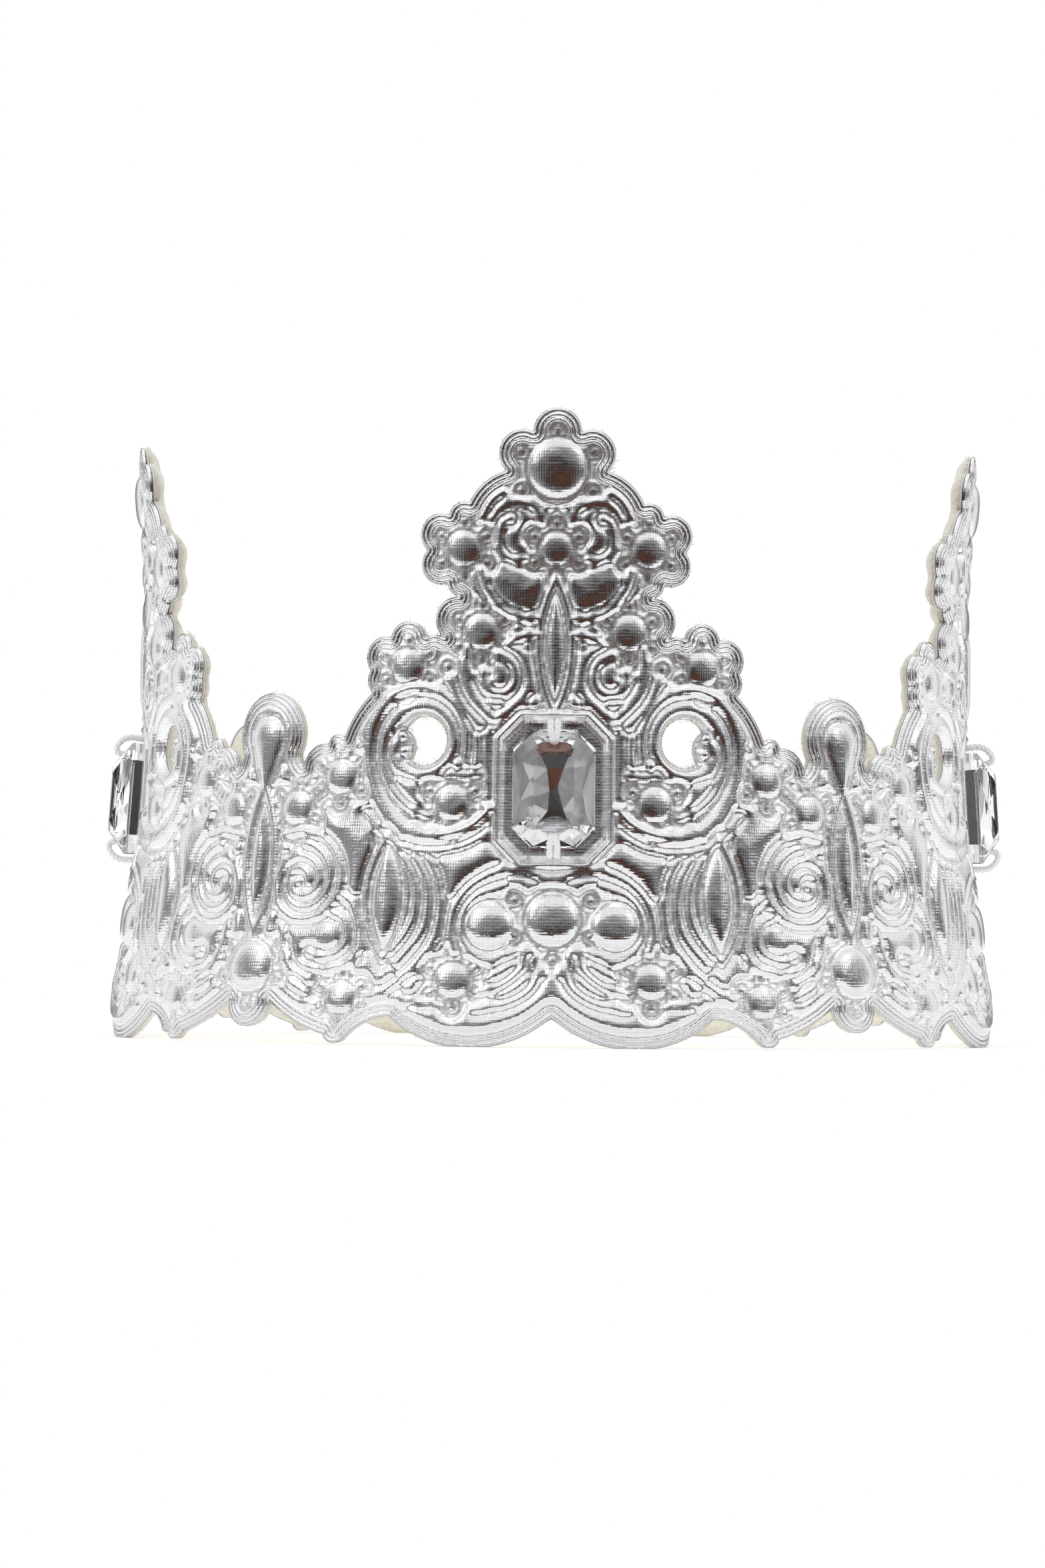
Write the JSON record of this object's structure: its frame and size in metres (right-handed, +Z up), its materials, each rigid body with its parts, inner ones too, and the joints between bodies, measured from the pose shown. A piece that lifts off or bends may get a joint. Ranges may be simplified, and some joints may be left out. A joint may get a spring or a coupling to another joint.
{
  "type": "dress-up crown",
  "caption": "Soft open-ended crown band of embossed silver cloth over foam, with pointed peaks, sewn-on faceted stones and a closing tab behind.",
  "frame": {"origin": "middle of the footprint, on the surface the crown stands on", "axes": "+Z up, the front peak and front stone face -Y, +X to the right of someone looking at the front"},
  "size_m": [0.1818, 0.1657, 0.1197],
  "materials": {
    "silver_cloth": "satin",
    "foam": "matte",
    "fleece": "matte",
    "stone": "gloss",
    "foil": "polished",
    "stone_thread": "matte",
    "webbing": "matte",
    "hook_tape": "matte",
    "loop_tape": "matte",
    "sewing_thread": "matte"
  },
  "bodies": {
    "crown_band": {"face_cloth": "silver_cloth", "foam_core": "foam", "lining": "fleece", "front_stone": "stone", "front_stone_foil": "foil", "front_stone_thread": "stone_thread", "left_stone": "stone", "left_stone_foil": "foil", "left_stone_thread": "stone_thread", "right_stone": "stone", "right_stone_foil": "foil", "right_stone_thread": "stone_thread", "tab_root": "webbing", "loop_patch": "loop_tape", "loop_patch_stitches": "sewing_thread", "tab_root_stitches": "sewing_thread"},
    "closing_tab": {"closing_tab": "webbing", "hook_patch": "hook_tape", "hook_patch_stitches": "sewing_thread"}
  },
  "joints": [
    {"name": "tab_hinge", "type": "hinge", "parent": "crown_band", "child": "closing_tab", "pos_m": [-0.01155, 0.07903, 0.026], "axis": [0.0158, -0.1073, 0.9941], "range_deg": [0, 110]}
  ]
}
